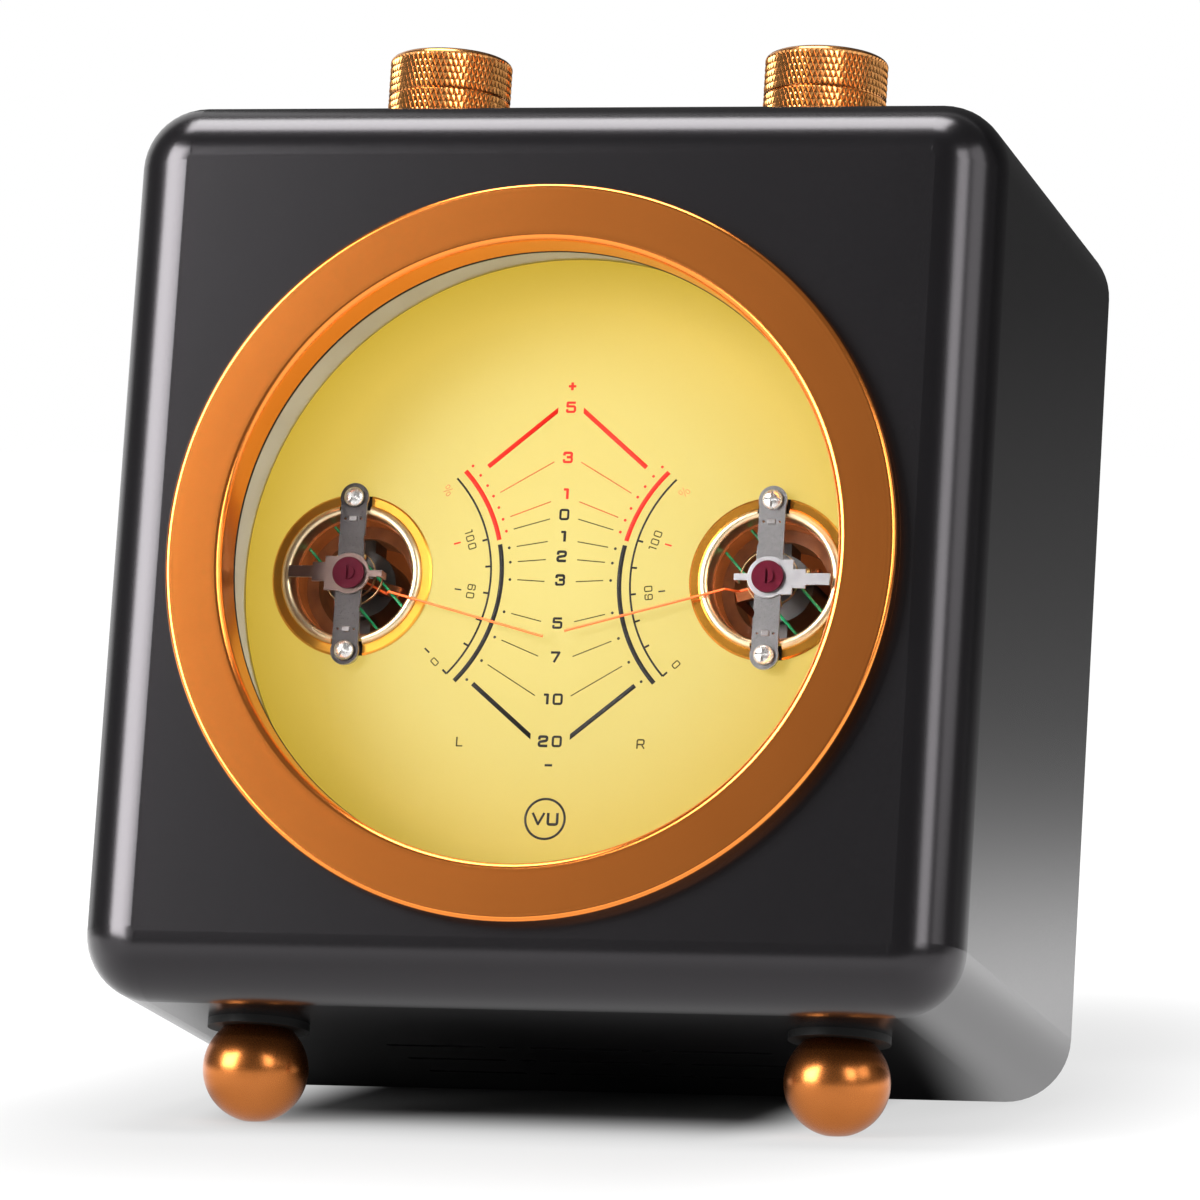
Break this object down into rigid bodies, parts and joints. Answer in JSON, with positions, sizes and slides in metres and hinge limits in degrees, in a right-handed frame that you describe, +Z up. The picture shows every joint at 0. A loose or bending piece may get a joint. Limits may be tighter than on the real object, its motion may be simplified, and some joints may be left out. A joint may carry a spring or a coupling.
{
  "type": "analog vu meter",
  "caption": "Desk-top signal level meter: leaning box case, round copper bezel, back-lit yellow dial, needle movements with facing scales, knurled top knobs, ball feet",
  "frame": {"origin": "centre of the whole object's footprint box, on the ground plane", "axes": "+X to the dial's right-hand movement, +Y from the front to the back, +Z up; the case leans back 13.74 degrees about X"},
  "size_m": [0.116, 0.1024, 0.1407],
  "materials": {
    "case_black": "satin black powder coat on die-cast metal",
    "panel_black": "satin black",
    "copper": "satin copper-gold anodised",
    "knob_copper": "bright copper-gold, diamond knurled",
    "foot_copper": "satin copper",
    "rubber": "matt black",
    "lens": "clear flat window",
    "drum": "white moulding",
    "dial": "warm yellow back-lit plate with printed scales",
    "guide": "opal diffuser",
    "board": "green circuit board",
    "led": "warm white",
    "eyelet_brass": "gilt, polished lip",
    "housing": "rust-brown moulding",
    "iron": "dark sintered",
    "strap_steel": "fine brushed",
    "chrome": "bright",
    "black_steel": "black oxide",
    "jewel_red": "dark maroon",
    "lever_alloy": "light grey satin",
    "spring_bronze": "bronze strip",
    "coil_copper": "enamelled copper winding",
    "pointer_orange": "orange-red lacquer",
    "weight_brass": "plain",
    "wire_green": "green sleeved lead",
    "nickel": "nickel plate",
    "parts_black": "moulded",
    "socket_gold": "gold plate"
  },
  "bodies": {
    "case": {"backlight_board": "board", "backlight_leds": "led", "ball_foot_left": "foot_copper", "ball_foot_right": "foot_copper", "bezel_ring": "copper", "board_parts": "parts_black", "board_screws": "nickel", "bridge_left": "strap_steel", "bridge_right": "strap_steel", "bridge_screws": "chrome", "case_shell": "case_black", "core_magnet_left": "iron", "core_magnet_right": "iron", "dial_plate": "dial", "drum_screws": "nickel", "eyelet_left": "eyelet_brass", "eyelet_right": "eyelet_brass", "foot_screws": "nickel", "foot_washers": "rubber", "jewel_screws": "jewel_red", "lead_wires": "wire_green", "lens": "lens", "lens_gasket": "rubber", "light_guide": "guide", "main_board": "board", "meter_drum": "drum", "movement_housing_left": "housing", "movement_housing_right": "housing", "pot_body_left": "nickel", "pot_body_right": "nickel", "pot_nuts": "nickel", "pot_washers": "nickel", "power_socket": "parts_black", "rear_panel": "panel_black", "rear_panel_screws": "black_steel", "socket_block": "parts_black", "socket_shells": "socket_gold", "terminal_pins": "nickel", "yoke_ring_left": "iron", "yoke_ring_right": "iron"},
    "knob_left": {"knob_left": "knob_copper", "grub_screw_left": "black_steel", "pot_shaft_left": "nickel"},
    "lever_left": {"zero_lever_left": "lever_alloy", "hairspring_left": "spring_bronze"},
    "needle_left": {"moving_coil_left": "coil_copper", "staff_left": "nickel", "pointer_left": "pointer_orange", "balance_arms_left": "lever_alloy", "balance_weights_left": "weight_brass"},
    "knob_right": {"knob_right": "knob_copper", "grub_screw_right": "black_steel", "pot_shaft_right": "nickel"},
    "lever_right": {"zero_lever_right": "lever_alloy", "hairspring_right": "spring_bronze"},
    "needle_right": {"moving_coil_right": "coil_copper", "staff_right": "nickel", "pointer_right": "pointer_orange", "balance_arms_right": "lever_alloy", "balance_weights_right": "weight_brass"}
  },
  "joints": [
    {"name": "knob_turn_left", "type": "hinge", "parent": "case", "child": "knob_left", "pos_m": [-0.0259, 0.01424, 0.1249], "axis": [0, 0.2374, 0.9714], "range_deg": [-150, 150]},
    {"name": "zero_set_left", "type": "hinge", "parent": "case", "child": "lever_left", "pos_m": [-0.02805, -0.02091, 0.07028], "axis": [0, -0.9714, 0.2374], "range_deg": [-12, 12]},
    {"name": "needle_swing_left", "type": "hinge", "parent": "lever_left", "child": "needle_left", "pos_m": [-0.02805, -0.02091, 0.07028], "axis": [0, -0.9714, 0.2374], "range_deg": [-30.5, 61.5], "stiffness_Nm_per_rad": 0.000005},
    {"name": "knob_turn_right", "type": "hinge", "parent": "case", "child": "knob_right", "pos_m": [0.0259, 0.01424, 0.1249], "axis": [0, 0.2374, 0.9714], "range_deg": [-150, 150]},
    {"name": "zero_set_right", "type": "hinge", "parent": "case", "child": "lever_right", "pos_m": [0.02805, -0.02091, 0.07028], "axis": [0, 0.9714, -0.2374], "range_deg": [-12, 12]},
    {"name": "needle_swing_right", "type": "hinge", "parent": "lever_right", "child": "needle_right", "pos_m": [0.02805, -0.02091, 0.07028], "axis": [0, 0.9714, -0.2374], "range_deg": [-30.5, 61.5], "stiffness_Nm_per_rad": 0.000005}
  ]
}
